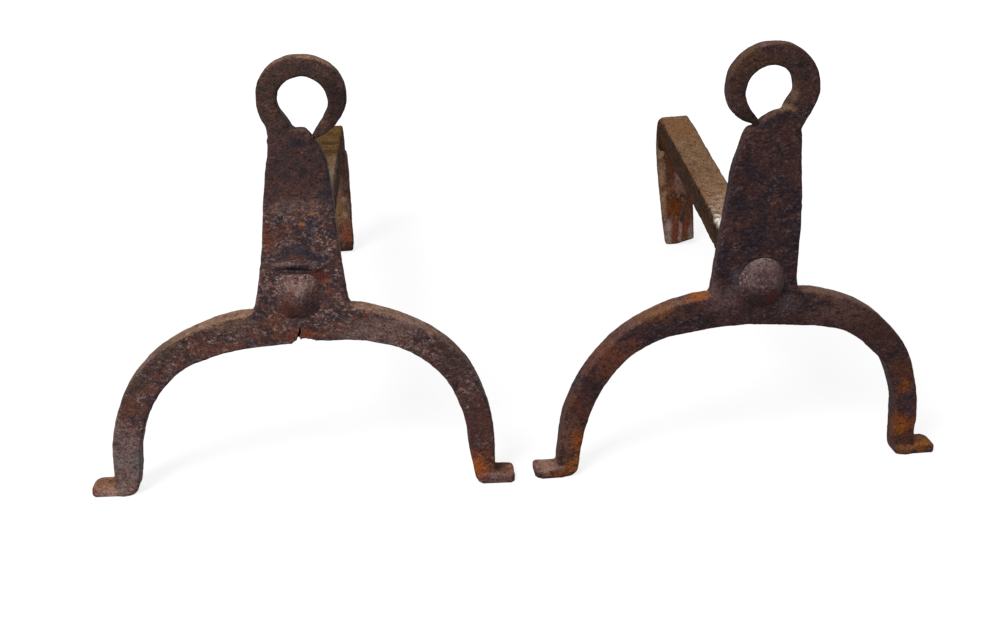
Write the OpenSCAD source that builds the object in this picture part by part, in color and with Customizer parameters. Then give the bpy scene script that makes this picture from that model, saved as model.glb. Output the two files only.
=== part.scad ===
// A pair of hand-forged andirons with ring eyes, for the two sides of a hearth.
// Each andiron is a flat upright whose top is drawn out and curled into an eye, two arched
// legs that meet in a seam under the upright, and a square billet bar that carries the logs.
// A rivet holds the bar to the upright, and the bar's back end turns down as the rear leg.
// X runs to the right, Y to the back of the hearth and Z up. The origin is on the hearth,
// under the middle of the pair. Each andiron is drawn about its own front: x = 0 in the
// middle, y = 0 on the front face and z = 0 on the hearth.

/* [Pair] */
// Distance between the middles of the two fronts
pair_spacing = 296; // [292:1:600]
// How far the right andiron stands behind the left one
right_setback = 10; // [0:1:40]
// Turn of the right andiron on the hearth, in degrees
right_turn = 3.4; // [0:0.1:6]

/* [Overall] */
// Height of the right andiron, from the hearth to the top of its eye
andiron_h = 289.5; // [238:0.5:360]
// How much lower the left andiron is
left_drop = 1; // [0:0.5:4]
// Length along the billet bar, from the front face to the back of the rear leg
andiron_d = 490; // [300:5:640]

/* [Upright] */
// Thickness of the upright
plate_t = 10; // [8:0.5:14]
// Radius of the shoulder that the eye's tip rests on
shoulder_r = 20; // [16:0.5:24]

/* [Eye] */
// How far the hole sits towards the tip, which thins that side of the eye
eye_shift = 1; // [0:0.25:1.5]
// Drop of the upright's top below the round of the hole
eye_sag = 3; // [0:0.5:4]
// Thickness of the eye from front to back
eye_t = 12; // [8:0.5:16]
// Angle below level at which the inside of the eye runs straight to its tip
tip_angle = 25; // [20:1:30]

/* [Legs] */
// Thickness of the legs from front to back
leg_d = 16; // [12:0.5:20]
// Height of the iron at the crown of the arch
crown_t = 21.5; // [16:0.5:24]
// Height of the legs under the foot of the upright
seat_t = 11; // [8:0.5:12]
// Width of the open seam between the two legs
seam_w = 0.4; // [0.2:0.1:1]
// Width of the leg at the ankle
ankle_w = 15; // [11:0.5:17]
// Radius of the rounded heel
heel_r = 8; // [4:0.5:10]
// Length of the pad beyond the ankle
pad_l = 16; // [10:0.5:19]
// Radius of the pad's corners
pad_corner_r = 5; // [2:0.5:6]
// Thickness of the pad
pad_t = 6; // [4:0.5:8]

/* [Billet bar] */
// Width of the billet bar
bar_w = 24.5; // [20:0.5:30]
// Height of the billet bar
bar_h = 24.5; // [20:0.5:30]
// Gap between the seat on the legs and the underside of the bar
bar_lift = 6; // [3:0.5:12]
// Fall of the bar from the front face to its back end
bar_fall = 20; // [0:1:30]
// Thickness of the rear leg from front to back
rear_leg_t = 19; // [15:0.5:25]

/* [Rivet] */
// Radius of the rivet's shank
rivet_r = 5.5; // [4:0.25:6.5]
// Clearance around the shank
rivet_fit = 0.1; // [0.05:0.05:0.3]
// Length of shank that is set into the bar
rivet_grip = 24; // [12:1:40]
// Radius of the domed head
head_r = 15.5; // [11:0.5:18]
// Height of the domed head
head_h = 8; // [5:0.5:10]

/* [Left andiron] */
// Sideways place of the upright's foot
left_foot_x = 0.5; // [-4:0.5:4]
// Width of the upright where it stands on the legs
left_foot_w = 60; // [46:0.5:72]
// Sideways place of the upright's neck
left_neck_x = 4; // [0:0.5:6]
// Width of the upright at its shoulder
left_neck_w = 36; // [32:0.5:44]
// Sideways place of the eye
left_eye_x = 9; // [6:0.5:12]
// Outside radius of the eye
left_eye_r = 27.5; // [24:0.5:32]
// Radius of the eye's hole
left_hole_r = 15; // [12.5:0.5:19]
// Reach of the outer leg, from the middle to the outside of its ankle
left_outer_reach = 128.5; // [112:0.5:160]
// Reach of the inner leg
left_inner_reach = 121.5; // [112:0.5:126]
// Radius of the outside of the outer leg's bend
left_outer_bend = 99.5; // [84:0.5:102]
// Radius of the inside of the outer leg's bend
left_outer_hollow = 86; // [70:0.5:90]
// Radius of the outside of the inner leg's bend
left_inner_bend = 99; // [84:0.5:102]
// Radius of the inside of the inner leg's bend
left_inner_hollow = 81; // [70:0.5:90]
// Height of the arch on the outer side
left_outer_arch = 125; // [112:0.5:150]
// Height of the arch on the inner side
left_inner_arch = 127.5; // [113:0.5:153]
// Sideways place of the rivet and of the bar behind it
left_rivet_x = -1; // [-4:0.5:4]
// Height of the rivet above the middle of the bar
left_rivet_up = 3.5; // [-4:0.5:4]
// Swing of the bar's back end to the right, in degrees
left_swing = -0.75; // [-4:0.25:4]
// Roll of the bar about its own length, in degrees
left_roll = 2.5; // [0:0.5:6]
// How much wider the bar's right side has spread at the bend
left_spread = 1.5; // [0:0.5:6]
// Width of the rear leg at the hearth
left_rear_foot_w = 25; // [24.5:0.5:34]
// Sideways place of the rear leg's foot along the bend
left_rear_foot_x = 0; // [-3:0.5:3]
// How far the rear leg's foot stands in front of its bend
left_rear_lean = 0; // [0:0.5:16]

/* [Right andiron] */
// Sideways place of the upright's foot
right_foot_x = -3; // [-4:0.5:4]
// Width of the upright where it stands on the legs
right_foot_w = 57; // [46:0.5:72]
// Sideways place of the upright's neck
right_neck_x = -0.5; // [-2:0.5:4]
// Width of the upright at its shoulder
right_neck_w = 42; // [36:0.5:46]
// Sideways place of the eye
right_eye_x = -0.5; // [-3:0.5:3]
// Outside radius of the eye
right_eye_r = 29.5; // [25:0.5:33]
// Radius of the eye's hole
right_hole_r = 15.5; // [13:0.5:20]
// Reach of the inner leg, from the middle to the outside of its ankle
right_inner_reach = 131; // [112:0.5:132]
// Reach of the outer leg
right_outer_reach = 120.5; // [108:0.5:160]
// Radius of the outside of the inner leg's bend
right_inner_bend = 106.5; // [84:0.5:108]
// Radius of the inside of the inner leg's bend
right_inner_hollow = 84; // [70:0.5:92]
// Radius of the outside of the outer leg's bend
right_outer_bend = 91.5; // [84:0.5:96]
// Radius of the inside of the outer leg's bend
right_outer_hollow = 78; // [66:0.5:84]
// Height of the arch on the inner side
right_inner_arch = 125; // [112:0.5:150]
// Height of the arch on the outer side
right_outer_arch = 126; // [113:0.5:150]
// Sideways place of the rivet and of the bar behind it
right_rivet_x = 0.5; // [-4:0.5:4]
// Height of the rivet above the middle of the bar
right_rivet_up = 2; // [-4:0.5:4]
// Swing of the bar's back end to the right, in degrees
right_swing = 7.5; // [4:0.25:9]
// Roll of the bar about its own length, in degrees
right_roll = 5; // [0:0.5:6]
// How much wider the bar's right side has spread at the bend
right_spread = 4.5; // [0:0.5:6]
// Width of the rear leg at the hearth
right_rear_foot_w = 30.5; // [24.5:0.5:34]
// Sideways place of the rear leg's foot along the bend
right_rear_foot_x = 1.5; // [-3:0.5:3]
// How far the rear leg's foot stands in front of its bend
right_rear_lean = 10; // [0:0.5:16]

/* [Hidden] */
$fn = 96;

// The side of each upright that carries the tip of its eye: 1 is right and -1 is left
left_tip = 1;
right_tip = -1;

// Heights of the middles of the eyes, and of the tops of the uprights under them
left_eye_z = andiron_h - left_drop - left_eye_r;
right_eye_z = andiron_h - right_eye_r;
left_neck_z = left_eye_z - left_hole_r - eye_sag;
right_neck_z = right_eye_z - right_hole_r - eye_sag;

// Height of the seat that each upright and its bar are set from
left_seat_z = min(left_outer_arch, left_inner_arch) - crown_t + seat_t;
right_seat_z = min(right_inner_arch, right_outer_arch) - crown_t + seat_t;

// Height of the middle of a bar at the front face, and of its top at the length s
function bar_axis_z(seat_z) = seat_z + bar_lift + bar_h / 2;
function bar_top_z(seat_z, s) = bar_axis_z(seat_z) + bar_h / 2 - bar_fall * s / andiron_d;

left_rivet_z = bar_axis_z(left_seat_z) + left_rivet_up;
right_rivet_z = bar_axis_z(right_seat_z) + right_rivet_up;

// How far an andiron that is turned by the angle turn reaches out to a pad at the distance
// reach, and how far back its bar reaches. The two give the box that the origin is centred in.
function pad_out(reach, turn) =
  (reach + pad_l - pad_corner_r) * cos(turn) - pad_corner_r * sin(turn) + pad_corner_r;
function pad_front(reach, turn) =
  pad_corner_r * cos(turn) - (reach + pad_l - pad_corner_r) * sin(turn) - pad_corner_r;
function bar_back(swing, turn, spread) =
  andiron_d * cos(turn - swing)
  + max(-bar_w / 2 * sin(turn - swing), (bar_w / 2 + spread) * sin(turn - swing));

box_left = -pad_out(left_outer_reach, 0);
box_right = pair_spacing + pad_out(right_outer_reach, right_turn);
box_front = min(-head_h, right_setback + pad_front(right_inner_reach, right_turn));
box_back = max(
  bar_back(left_swing, 0, left_spread),
  right_setback + bar_back(right_swing, right_turn, right_spread)
);
left_x = -(box_left + box_right) / 2;
front_y = -(box_front + box_back) / 2;

// A cut that clears the whole andiron, and the small step that carries a cut past a face
clear = 2000;
past = 1;

module left_place() translate([left_x, front_y, 0]) children();

module right_place()
  translate([left_x + pair_spacing, front_y + right_setback, 0])
  rotate([0, 0, right_turn])
  children();

// Stands a front-view outline up and gives it the depth d, from the front face back
module from_front(d) translate([0, d, 0]) rotate([90, 0, 0]) linear_extrude(d) children();

// Runs a side-view outline, drawn in Y and Z, across the width w about the middle
module across(w) rotate([90, 0, 90]) linear_extrude(w, center = true) children();

// Front view of an upright: a taper from the foot to the neck, and a head that is square on
// the side where the eye grows out of it and round on the side of the eye's tip
module upright_outline(foot_x, foot_w, neck_x, neck_w, neck_z, seat_z, tip) {
  arc_x = neck_x + tip * (neck_w / 2 - shoulder_r);
  shoulder_z = neck_z - shoulder_r;
  polygon([
    [foot_x - foot_w / 2, seat_z], [foot_x + foot_w / 2, seat_z],
    [neck_x + neck_w / 2, shoulder_z], [neck_x - neck_w / 2, shoulder_z]
  ]);
  intersection() {
    translate([neck_x - neck_w / 2, shoulder_z]) square([neck_w, shoulder_r]);
    union() {
      translate([arc_x, shoulder_z]) circle(shoulder_r);
      translate([tip > 0 ? arc_x - neck_w : arc_x, shoulder_z]) square([neck_w, shoulder_r]);
    }
  }
}

module left_outline()
  upright_outline(left_foot_x, left_foot_w, left_neck_x, left_neck_w, left_neck_z,
                  left_seat_z, left_tip);

module right_outline()
  upright_outline(right_foot_x, right_foot_w, right_neck_x, right_neck_w, right_neck_z,
                  right_seat_z, right_tip);

// An upright of the outline that is its child, with the rivet's hole
module upright(rivet_x, rivet_z) {
  difference() {
    from_front(plate_t) children();
    translate([rivet_x, -past, rivet_z]) rotate([-90, 0, 0])
      cylinder(h = plate_t + 2 * past, r = rivet_r + rivet_fit);
  }
}

// Front view of the space inside an eye: its round hole, and the straight run to the tip
module eye_hole_outline(eye_x, eye_z, eye_r, hole_r, tip) {
  middle = [eye_x + tip * eye_shift, eye_z];
  bend = middle + hole_r * [tip * cos(tip_angle), -sin(tip_angle)];
  translate(middle) circle(hole_r);
  polygon([
    middle, bend, bend + eye_r * [-tip * sin(tip_angle), -cos(tip_angle)],
    middle - [tip * hole_r / 2, hole_r + shoulder_r / 2]
  ]);
}

// An eye that stands on the outline that is its child
module eye(eye_x, eye_z, eye_r, hole_r, tip) {
  from_front(eye_t) difference() {
    translate([eye_x, eye_z]) circle(eye_r);
    eye_hole_outline(eye_x, eye_z, eye_r, hole_r, tip);
    children();
  }
}

// A leg that reaches out to +X: its crown, the bend, the shank and the rounded heel, with the
// seat for an upright whose foot covers the first cover millimetres
module leg_outline(reach, bend, hollow, arch, seat_z, cover) {
  hub = [reach - bend, arch - bend];
  heel_x = reach - ankle_w;
  hollow_hub = [heel_x - hollow, arch - crown_t - hollow];
  difference() {
    union() {
      translate([seam_w / 2, 0]) square([hub[0] - seam_w / 2, arch]);
      translate([hub[0], 0]) square([bend, hub[1]]);
      intersection() {
        translate(hub) circle(bend);
        translate(hub) square(bend);
      }
    }
    translate([-past, -past]) square([hollow_hub[0] + past, arch - crown_t + past]);
    translate([-past, -past]) square([heel_x + past, hollow_hub[1] + past]);
    intersection() {
      translate(hollow_hub) circle(hollow);
      translate(hollow_hub) square(hollow);
    }
    translate([-past, seat_z]) square([cover + past, arch]);
    difference() {
      translate([heel_x - past, -past]) square(heel_r + past);
      translate([heel_x + heel_r, heel_r]) circle(heel_r);
    }
  }
}

module leg(reach, bend, hollow, arch, seat_z, cover) {
  pad_length = ankle_w / 2 + pad_l;
  from_front(leg_d) leg_outline(reach, bend, hollow, arch, seat_z, cover);
  translate([reach - ankle_w / 2, 0, 0]) linear_extrude(pad_t) {
    square([pad_length - pad_corner_r, leg_d]);
    translate([0, pad_corner_r]) square([pad_length, leg_d - 2 * pad_corner_r]);
    for (y = [pad_corner_r, leg_d - pad_corner_r])
      translate([pad_length - pad_corner_r, y]) circle(pad_corner_r);
  }
}

// Swings and rolls a bar about the point where it leaves the upright
module on_bar(rivet_x, seat_z, swing, roll)
  translate([rivet_x, 0, bar_axis_z(seat_z)])
  rotate([0, 0, -swing])
  rotate([0, -roll, 0])
  translate([0, 0, -bar_axis_z(seat_z)])
  children();

// The mitre where the bar turns down: its outer and inner corner in side view
function bend_out(seat_z) = [andiron_d, bar_top_z(seat_z, andiron_d)];
function bend_in(seat_z) =
  [andiron_d - rear_leg_t, bar_top_z(seat_z, andiron_d - rear_leg_t) - bar_h];

module billet_bar(rivet_x, rivet_z, seat_z, swing, roll, spread) {
  // The bar is drawn from ahead of the front face, so that its swung end still meets the plate
  lead = -bar_w;
  difference() {
    intersection() {
      on_bar(rivet_x, seat_z, swing, roll) intersection() {
        across(2 * (bar_w + spread)) polygon([
          [lead, bar_top_z(seat_z, lead) - bar_h], [lead, bar_top_z(seat_z, lead)],
          bend_out(seat_z), bend_in(seat_z)
        ]);
        linear_extrude(2 * seat_z) polygon([
          [-bar_w / 2, lead], [bar_w / 2, lead],
          [bar_w / 2 + spread, andiron_d - rear_leg_t],
          [bar_w / 2 + spread, andiron_d + past], [-bar_w / 2, andiron_d + past]
        ]);
      }
      translate([-clear / 2, plate_t, 0]) cube(clear);
    }
    translate([rivet_x, plate_t - past, rivet_z]) rotate([-90, 0, 0])
      cylinder(h = rivet_grip + past, r = rivet_r + rivet_fit);
  }
}

module rear_leg(rivet_x, seat_z, swing, roll, spread, foot_w, foot_x, lean) {
  // The leg is drawn to below the hearth and cut off level with it
  below = -bar_w;
  top_z = bar_top_z(seat_z, andiron_d);
  flare_z = top_z - bar_h;
  foot_y = andiron_d - lean;
  below_y = foot_y + lean * below / top_z;
  intersection() {
    on_bar(rivet_x, seat_z, swing, roll) intersection() {
      across(2 * (bar_w + foot_w)) polygon([
        bend_out(seat_z), bend_in(seat_z),
        [below_y - rear_leg_t, below], [below_y, below]
      ]);
      from_front(andiron_d + past) polygon([
        [foot_x - foot_w / 2, below], [foot_x + foot_w / 2, below], [foot_x + foot_w / 2, 0],
        [bar_w / 2 + spread, flare_z], [bar_w / 2 + spread, top_z + past],
        [-bar_w / 2, top_z + past], [-bar_w / 2, flare_z], [foot_x - foot_w / 2, 0]
      ]);
    }
    translate([-clear / 2, 0, 0]) cube(clear);
  }
}

// A domed head on the front face, with a round shank through the upright into the bar
module rivet(rivet_x, rivet_z) {
  dome_r = (head_r * head_r + head_h * head_h) / (2 * head_h);
  translate([rivet_x, 0, rivet_z]) {
    rotate([90, 0, 0]) rotate_extrude() intersection() {
      translate([0, head_h - dome_r]) circle(dome_r);
      square([head_r, head_h]);
    }
    rotate([-90, 0, 0]) cylinder(h = plate_t + rivet_grip, r = rivet_r);
  }
}

module left_upright() color("#4a3a38") left_place()
  upright(left_rivet_x, left_rivet_z) left_outline();

module left_eye() color("#5a4338") left_place()
  eye(left_eye_x, left_eye_z, left_eye_r, left_hole_r, left_tip) left_outline();

module left_outer_leg() color("#544341") left_place() mirror([1, 0, 0])
  leg(left_outer_reach, left_outer_bend, left_outer_hollow, left_outer_arch, left_seat_z,
      left_foot_w / 2 - left_foot_x);

module left_inner_leg() color("#5c463d") left_place()
  leg(left_inner_reach, left_inner_bend, left_inner_hollow, left_inner_arch, left_seat_z,
      left_foot_w / 2 + left_foot_x);

module left_billet_bar() color("#7a6048") left_place()
  billet_bar(left_rivet_x, left_rivet_z, left_seat_z, left_swing, left_roll, left_spread);

module left_rear_leg() color("#74452a") left_place()
  rear_leg(left_rivet_x, left_seat_z, left_swing, left_roll, left_spread,
           left_rear_foot_w, left_rear_foot_x, left_rear_lean);

module left_rivet() color("#6b5552") left_place() rivet(left_rivet_x, left_rivet_z);

module right_upright() color("#4a3a3c") right_place()
  upright(right_rivet_x, right_rivet_z) right_outline();

module right_eye() color("#5a4338") right_place()
  eye(right_eye_x, right_eye_z, right_eye_r, right_hole_r, right_tip) right_outline();

module right_inner_leg() color("#60432f") right_place() mirror([1, 0, 0])
  leg(right_inner_reach, right_inner_bend, right_inner_hollow, right_inner_arch,
      right_seat_z, right_foot_w / 2 - right_foot_x);

module right_outer_leg() color("#6a4630") right_place()
  leg(right_outer_reach, right_outer_bend, right_outer_hollow, right_outer_arch,
      right_seat_z, right_foot_w / 2 + right_foot_x);

module right_billet_bar() color("#86704f") right_place()
  billet_bar(right_rivet_x, right_rivet_z, right_seat_z, right_swing, right_roll, right_spread);

module right_rear_leg() color("#7a4a30") right_place()
  rear_leg(right_rivet_x, right_seat_z, right_swing, right_roll, right_spread,
           right_rear_foot_w, right_rear_foot_x, right_rear_lean);

module right_rivet() color("#5f4c4b") right_place() rivet(right_rivet_x, right_rivet_z);

left_upright();
left_eye();
left_outer_leg();
left_inner_leg();
left_billet_bar();
left_rear_leg();
left_rivet();
right_upright();
right_eye();
right_inner_leg();
right_outer_leg();
right_billet_bar();
right_rear_leg();
right_rivet();
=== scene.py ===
"""A pair of hand-forged andirons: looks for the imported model, on a pale floor."""
import itertools
import math
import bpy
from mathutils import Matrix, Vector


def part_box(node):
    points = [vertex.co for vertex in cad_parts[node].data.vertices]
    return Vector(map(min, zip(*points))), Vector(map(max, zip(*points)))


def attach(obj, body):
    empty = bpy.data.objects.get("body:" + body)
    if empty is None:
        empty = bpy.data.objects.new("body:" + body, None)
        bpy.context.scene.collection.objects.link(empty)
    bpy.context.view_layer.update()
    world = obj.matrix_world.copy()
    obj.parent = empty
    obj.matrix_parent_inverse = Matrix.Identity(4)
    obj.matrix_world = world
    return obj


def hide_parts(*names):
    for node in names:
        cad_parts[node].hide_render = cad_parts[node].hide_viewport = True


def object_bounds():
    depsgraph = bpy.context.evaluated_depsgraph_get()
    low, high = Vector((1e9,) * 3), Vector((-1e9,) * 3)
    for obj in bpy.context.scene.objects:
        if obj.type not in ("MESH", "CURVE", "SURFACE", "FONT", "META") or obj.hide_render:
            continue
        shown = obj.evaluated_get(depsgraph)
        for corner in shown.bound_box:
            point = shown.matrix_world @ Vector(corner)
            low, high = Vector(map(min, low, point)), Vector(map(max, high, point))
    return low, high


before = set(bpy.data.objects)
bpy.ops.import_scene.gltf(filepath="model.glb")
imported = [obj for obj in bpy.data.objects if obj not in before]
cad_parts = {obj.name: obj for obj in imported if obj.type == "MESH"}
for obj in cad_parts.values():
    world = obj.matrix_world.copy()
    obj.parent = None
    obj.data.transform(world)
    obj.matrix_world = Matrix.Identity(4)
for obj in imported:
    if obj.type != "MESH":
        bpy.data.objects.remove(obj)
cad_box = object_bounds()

from types import SimpleNamespace

import bpy
import numpy as np
from mathutils import Matrix, Vector

# ---------------------------------------------------------------------------
# Two andirons stand side by side on the hearth, the right one a little further
# back and turned. The camera looks down at them with a slightly long lens from
# in front of the left one, half as far again above the hearth as the eyes are.
scene = bpy.context.scene
scene.view_settings.view_transform = "Standard"

# The middle of each upright's foot, to the right of the middle of its andiron's front, in millimetres
LEFT_FOOT_X = 0.5
RIGHT_FOOT_X = -3.0
# The camera's place from the middle of the left front, in millimetres, and its angles in degrees
CAMERA_FROM_LEFT = (75.3, -764.9, 434.7)
CAMERA_TO_RIGHT = 3.8
CAMERA_DOWN = 22.0
CAMERA_TILT = -0.32
SENSOR = 36.0
LENS = 46.8
FURTHEST_SEEN = 20.0  # metres


def standing(upright, foot_x, level=0.01):
    """Where an andiron stands: the middle of its front face in millimetres, and its turn.
    The foot of its upright is what lies lowest in it, to within level."""
    corners = 1000 * np.array([v.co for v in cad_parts[upright].data.vertices])
    foot = corners[corners[:, 2] < corners[:, 2].min() + level]
    left = min(foot, key=lambda c: (round(float(c[1]), 2), c[0]))
    right = max(foot, key=lambda c: (round(float(c[0]), 2), -c[1]))
    turned = math.atan2(right[1] - left[1], right[0] - left[0])
    x, y = (left[:2] + right[:2]) / 2 - foot_x * np.array([math.cos(turned), math.sin(turned)])
    return float(x), float(y), math.degrees(turned)


LEFT_PLACE = standing("left_upright", LEFT_FOOT_X)
RIGHT_PLACE = standing("right_upright", RIGHT_FOOT_X)

camera = bpy.data.objects.new("camera", bpy.data.cameras.new("camera"))
scene.collection.objects.link(camera)
camera.data.sensor_width = SENSOR
camera.data.lens = LENS
camera.data.clip_end = FURTHEST_SEEN
camera_turn = (
    Matrix.Rotation(math.radians(-CAMERA_TO_RIGHT), 3, "Z")
    @ Matrix.Rotation(math.radians(90.0 - CAMERA_DOWN), 3, "X")
    @ Matrix.Rotation(math.radians(CAMERA_TILT), 3, "Z")
)
camera.location = [(a + b) / 1000 for a, b in zip((*LEFT_PLACE[:2], 0.0), CAMERA_FROM_LEFT)]
camera.rotation_euler = camera_turn.to_euler()
scene.camera = camera


# ---------------------------------------------------------------------------
# The left front is one iron: a flat upright, drawn out at the top and curled
# into an eye, over two arched legs that were forge-welded together. The weld
# has opened from below, and a cold shut shows as a slot above the rivet.


def depth_of(node):
    """How deep a piece of the left andiron is, which stands square to the frame, in millimetres."""
    low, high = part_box(node)
    return round(1000 * (high[1] - low[1]), 2)


# Sizes are in millimetres. Places are too, and count from the middle of the andiron's own front,
# down on the hearth: x to the right, y to the back and z up.
PLATE_T = depth_of("left_upright")
LEG_D = depth_of("left_outer_leg")
EYE_T = depth_of("left_eye")
SEAT = round(1000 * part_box("left_upright")[0][2], 2)  # the level of the upright's foot
PAD_T = 6.5
PAD_EDGE = 2.8
EYE_EDGE = 3.4
BORE_R = 5.8  # of the rivet's hole
LEG_WELD = 5.0  # the fillets where the irons run into one another
STEM_WELD = 2.0
PAD_WELD = 3.0

# Middle of the iron and its thickness, from the crown to the heel
LEFT_OUTER_LEG = [
    (0, 115.5, 19.5), (-30, 114, 22.3), (-45, 112, 22.3), (-62, 106.5, 20.8), (-80.5, 98, 19.3),
    (-94.5, 86, 19.3), (-105.5, 71.5, 19.7), (-113.2, 54.5, 18.6), (-118.2, 35, 18.1),
    (-119.4, 19, 17.5), (-120.9, 7.3, 15.8),
]
LEFT_INNER_LEG = [
    (0, 117, 20), (32, 117.3, 22.2), (48.5, 114, 20.8), (65.5, 108.4, 18.9), (79.5, 100.3, 18.8),
    (91, 90, 18.6), (100.5, 77.5, 18), (107, 62.5, 17.7), (112, 44.5, 17.5),
    (113.5, 29.5, 17.5), (115, 15, 15), (115.6, 6.4, 13.4),
]
# Each pad's two ends, its front and back, and the radius of its front and back corners
LEFT_PADS = [(-144.4, -118, -0.8, 17.4, 5, 6), (112, 135.6, -2.4, 16.6, 4, 3.5)]
LEFT_UPRIGHT = [
    (-36, 108), (-33, 121), (-28.5, 129), (-25.5, 143), (-21, 169), (-18.5, 196),
    (-16.4, 213.5), (-14.8, 223), (-13.7, 228), (-12.6, 234.5), (-13.4, 237.5), (-12.2, 240),
    (-12.6, 242.5), (-12.5, 247), (-4, 248), (2, 243.6), (8.5, 244.2), (11.4, 242.5), (14.6, 237.6),
    (19, 231.2), (21.2, 226.2), (22.5, 219), (24.5, 198), (26.5, 168), (29, 143), (31, 130),
    (35.5, 122.6), (37, 108),
]
# The eye's middle; from its stem on, the iron's angle and distance from there and its thickness;
# and its tapered tip
LEFT_EYE = (9.3, 260.8)
LEFT_EYE_STEM = [(-4, 240, 15)]
LEFT_EYE_IRON = [
    (221, 20.9, 12.9), (204, 20.9, 12.5), (190, 20.9, 12.2), (176, 21.1, 12.4), (155, 21.6, 12.8),
    (134, 21.7, 13.2), (112, 21.2, 12.9), (90, 20.9, 11.7), (67, 20.9, 12.5), (44, 20.9, 12.9),
    (22, 20.9, 12.0), (0, 20.7, 11.2),
]
LEFT_EYE_TIP = [
    (28.3, 254.7, 9.7), (25.9, 250.7, 9.0), (23.7, 247.4, 7.9), (20.4, 243.9, 6.8),
    (17.9, 241.8, 5.0), (15.8, 239.5, 3.6),
]


def drawn_out(stations, pieces=5):
    """A smooth run through the stations, as many short pieces."""
    p = np.array(stations, float)
    p = np.vstack([2 * p[0] - p[1], p, 2 * p[-1] - p[-2]])
    run = []
    for a, b, c, d in zip(p, p[1:], p[2:], p[3:]):
        for t in np.arange(pieces) / pieces:
            run.append(0.5 * (2 * b + (c - a) * t + (2 * a - 5 * b + 4 * c - d) * t**2
                              + (3 * b - a - 3 * c + d) * t**3))
    return np.array(run + [p[-2]])


def curled(stem, eye, iron, tip):
    """The run of an eye: up its stem, round its middle, and down to its tip."""
    x, z = eye
    ring = [
        (x + r * math.cos(math.radians(a)), z + r * math.sin(math.radians(a)), t) for a, r, t in iron
    ]
    return drawn_out(stem + ring + tip, pieces=4)


def softened(outline):
    """The outline with its corners cut off."""
    p = np.array(outline, float)
    q = np.roll(p, -1, axis=0)
    return np.stack([0.75 * p + 0.25 * q, 0.25 * p + 0.75 * q], 1).reshape(-1, 2)


# Shapes are functions of the place that give the distance to the iron's face, negative inside it.


def band(x, z, run):
    """Front view of a bar that follows a run."""
    best = None
    for (ax, az, at), (bx, bz, bt) in zip(run, run[1:]):
        ex, ez = bx - ax, bz - az
        t = np.clip(((x - ax) * ex + (z - az) * ez) / (ex * ex + ez * ez), 0, 1)
        d = np.hypot(x - ax - ex * t, z - az - ez * t) - (at + (bt - at) * t) / 2
        best = d if best is None else np.minimum(best, d)
    return best


def plate(x, z, outline):
    """Front view of a flat plate with this outline."""
    best, side = None, 1.0
    for (ax, az), (bx, bz) in zip(outline, np.roll(outline, -1, axis=0)):
        ex, ez, wx, wz = bx - ax, bz - az, x - ax, z - az
        t = np.clip((wx * ex + wz * ez) / (ex * ex + ez * ez), 0, 1)
        d = (wx - ex * t) ** 2 + (wz - ez * t) ** 2
        best = d if best is None else np.minimum(best, d)
        up, down, left = z >= az, z < bz, ex * wz > ez * wx
        side = np.where((up & down & left) | ~(up | down | left), -side, side)
    return side * np.sqrt(best)


def welded(a, b, fillet):
    """Two shapes grown together, with a fillet in the corner between them."""
    h = np.maximum(fillet - np.abs(a - b), 0) / fillet
    return np.minimum(a, b) - h * h * fillet / 4


def edged(a, b, radius):
    """What lies inside two shapes at once, with the edge where they meet rounded by the hammer."""
    a, b = a + radius, b + radius
    return np.minimum(np.maximum(a, b), 0) + np.hypot(np.maximum(a, 0), np.maximum(b, 0)) - radius


def between(x, low, high):
    """A slab from low to high."""
    return np.abs(x - (low + high) / 2) - (high - low) / 2


def pads(x, y, z, ends):
    """The turned-out pads of a front: flat irons with rounded corners, lying on the hearth."""
    best = None
    for left, right, front, back, near, far in ends:
        corner = np.where(y < (front + back) / 2, near, far)
        seen_from_above = edged(between(x, left, right), between(y, front, back), corner)
        d = edged(seen_from_above, between(z, -PAD_T, PAD_T), PAD_EDGE)
        best = d if best is None else np.minimum(best, d)
    return best


def front_shape(front, cuts):
    """A whole front: upright, eye, legs and pads as one iron, less what is cut into it."""

    def shape(x, y, z):
        legs = np.minimum(band(x, z, front.legs[0]), band(x, z, front.legs[1]))
        upright, ring = plate(x, z, front.outline), band(x, z, front.eye)
        # The eye grows out of the upright at its stem, and only touches it at its tip
        at_stem = front.tip_side * x < front.stem_to
        head = np.where(at_stem, welded(upright, ring, STEM_WELD), np.minimum(upright, ring))
        flat = welded(head, legs, LEG_WELD)
        solid = np.minimum(edged(flat, between(y, 0, PLATE_T), front.plate_edge),
                           edged(legs, between(y, 0, LEG_D), front.leg_edge))
        solid = np.minimum(solid, edged(ring, between(y, 0, EYE_T), EYE_EDGE))
        solid = welded(solid, pads(x, y, z, front.pads), PAD_WELD)
        for cut in cuts(x, y, z):
            solid = np.maximum(solid, -cut)
        return np.maximum(solid, -z)

    return shape


def settled(points, shape, step):
    """The points moved onto the shape's own face, along its slope."""
    probe, furthest = 0.2, 0.4 * step
    for _ in range(2):
        p = [points[:, n] for n in range(3)]
        slope = np.stack([
            (shape(*[c + probe * (n == m) for m, c in enumerate(p)])
             - shape(*[c - probe * (n == m) for m, c in enumerate(p)])) / (2 * probe) for n in range(3)
        ], 1)
        move = -shape(*p)[:, None] * slope / np.maximum((slope**2).sum(1), 0.3)[:, None]
        points = points + np.clip(move, -furthest, furthest)
    return points


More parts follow.
